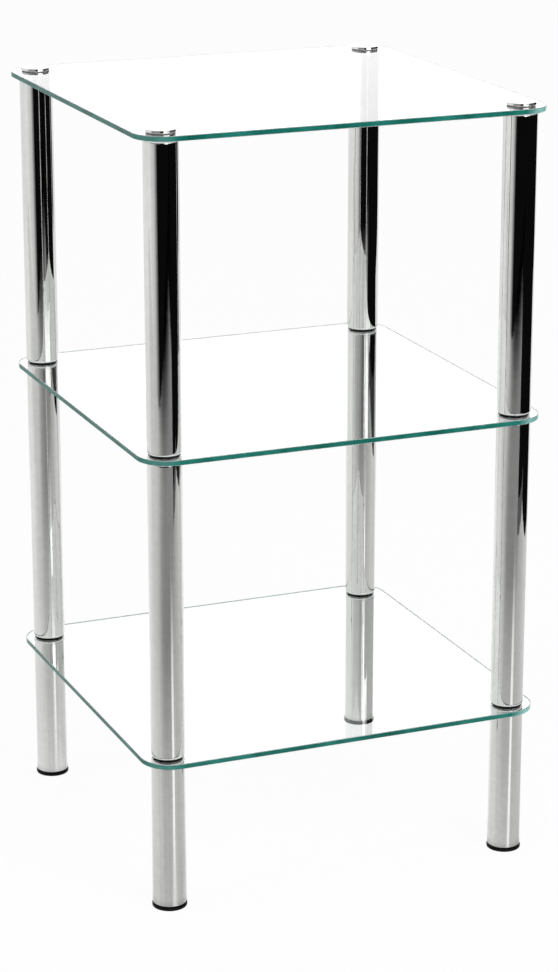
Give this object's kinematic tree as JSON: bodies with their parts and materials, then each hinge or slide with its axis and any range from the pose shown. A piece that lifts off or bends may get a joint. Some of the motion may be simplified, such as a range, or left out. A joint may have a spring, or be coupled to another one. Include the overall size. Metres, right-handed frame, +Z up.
{
  "type": "glass shelving unit",
  "caption": "Square shelving unit of clear glass shelves stacked on chromed tube posts, bolted through the corners, with screw-in levelling feet.",
  "frame": {"origin": "on the floor, at the centre of the four feet, with the feet screwed fully in", "axes": "+Z up along the posts; +X to the right and -Y to the front, along the edges of the square shelves"},
  "size_m": [0.4, 0.4, 0.7394],
  "materials": {
    "glass": "clear toughened float glass, flat polished edges that look deep green",
    "chrome": "bright chromed steel",
    "plug_metal": "plain die-cast metal, as cast",
    "washer_rubber": "matt black rubber",
    "sleeve_plastic": "natural white nylon",
    "stud_steel": "bright zinc-plated steel",
    "pad_plastic": "satin black moulded plastic"
  },
  "bodies": {
    "unit": {"glass_shelf_top": "glass", "glass_shelf_middle": "glass", "glass_shelf_bottom": "glass", "upper_tube_front_left": "chrome", "upper_tube_front_right": "chrome", "upper_tube_back_left": "chrome", "upper_tube_back_right": "chrome", "lower_tube_front_left": "chrome", "lower_tube_front_right": "chrome", "lower_tube_back_left": "chrome", "lower_tube_back_right": "chrome", "leg_tube_front_left": "chrome", "leg_tube_front_right": "chrome", "leg_tube_back_left": "chrome", "leg_tube_back_right": "chrome", "cap_screw_front_left": "chrome", "cap_screw_front_right": "chrome", "cap_screw_back_left": "chrome", "cap_screw_back_right": "chrome", "upper_tube_top_plugs": "plug_metal", "upper_tube_bottom_plugs": "plug_metal", "lower_tube_top_plugs": "plug_metal", "lower_tube_bottom_plugs": "plug_metal", "leg_tube_top_plugs": "plug_metal", "leg_tube_foot_plugs": "plug_metal", "top_shelf_under_washers": "washer_rubber", "middle_shelf_over_washers": "washer_rubber", "middle_shelf_under_washers": "washer_rubber", "bottom_shelf_over_washers": "washer_rubber", "bottom_shelf_under_washers": "washer_rubber", "top_shelf_cap_washers": "sleeve_plastic", "top_shelf_sleeves": "sleeve_plastic", "middle_shelf_sleeves": "sleeve_plastic", "bottom_shelf_sleeves": "sleeve_plastic", "middle_shelf_studs": "stud_steel", "bottom_shelf_studs": "stud_steel"},
    "pad_front_left": {"foot_pad_front_left": "pad_plastic"},
    "stud_front_left": {"foot_stud_front_left": "stud_steel"},
    "pad_front_right": {"foot_pad_front_right": "pad_plastic"},
    "stud_front_right": {"foot_stud_front_right": "stud_steel"},
    "pad_back_left": {"foot_pad_back_left": "pad_plastic"},
    "stud_back_left": {"foot_stud_back_left": "stud_steel"},
    "pad_back_right": {"foot_pad_back_right": "pad_plastic"},
    "stud_back_right": {"foot_stud_back_right": "stud_steel"}
  },
  "joints": [
    {"name": "foot_height_front_left", "type": "slide", "parent": "unit", "child": "pad_front_left", "axis": [0, 0, -1], "range_m": [0, 0.01]},
    {"name": "foot_screw_front_left", "type": "hinge", "parent": "pad_front_left", "child": "stud_front_left", "pos_m": [-0.175, -0.175, 0.003], "axis": [0, 0, -1], "range_deg": [0, 2880]},
    {"name": "foot_height_front_right", "type": "slide", "parent": "unit", "child": "pad_front_right", "axis": [0, 0, -1], "range_m": [0, 0.01]},
    {"name": "foot_screw_front_right", "type": "hinge", "parent": "pad_front_right", "child": "stud_front_right", "pos_m": [0.175, -0.175, 0.003], "axis": [0, 0, -1], "range_deg": [0, 2880]},
    {"name": "foot_height_back_left", "type": "slide", "parent": "unit", "child": "pad_back_left", "axis": [0, 0, -1], "range_m": [0, 0.01]},
    {"name": "foot_screw_back_left", "type": "hinge", "parent": "pad_back_left", "child": "stud_back_left", "pos_m": [-0.175, 0.175, 0.003], "axis": [0, 0, -1], "range_deg": [0, 2880]},
    {"name": "foot_height_back_right", "type": "slide", "parent": "unit", "child": "pad_back_right", "axis": [0, 0, -1], "range_m": [0, 0.01]},
    {"name": "foot_screw_back_right", "type": "hinge", "parent": "pad_back_right", "child": "stud_back_right", "pos_m": [0.175, 0.175, 0.003], "axis": [0, 0, -1], "range_deg": [0, 2880]}
  ],
  "couplings": [
    {"joint": "foot_screw_front_left", "follows": "foot_height_front_left", "rad_per_m": 5026.5},
    {"joint": "foot_screw_front_right", "follows": "foot_height_front_right", "rad_per_m": 5026.5},
    {"joint": "foot_screw_back_left", "follows": "foot_height_back_left", "rad_per_m": 5026.5},
    {"joint": "foot_screw_back_right", "follows": "foot_height_back_right", "rad_per_m": 5026.5}
  ]
}
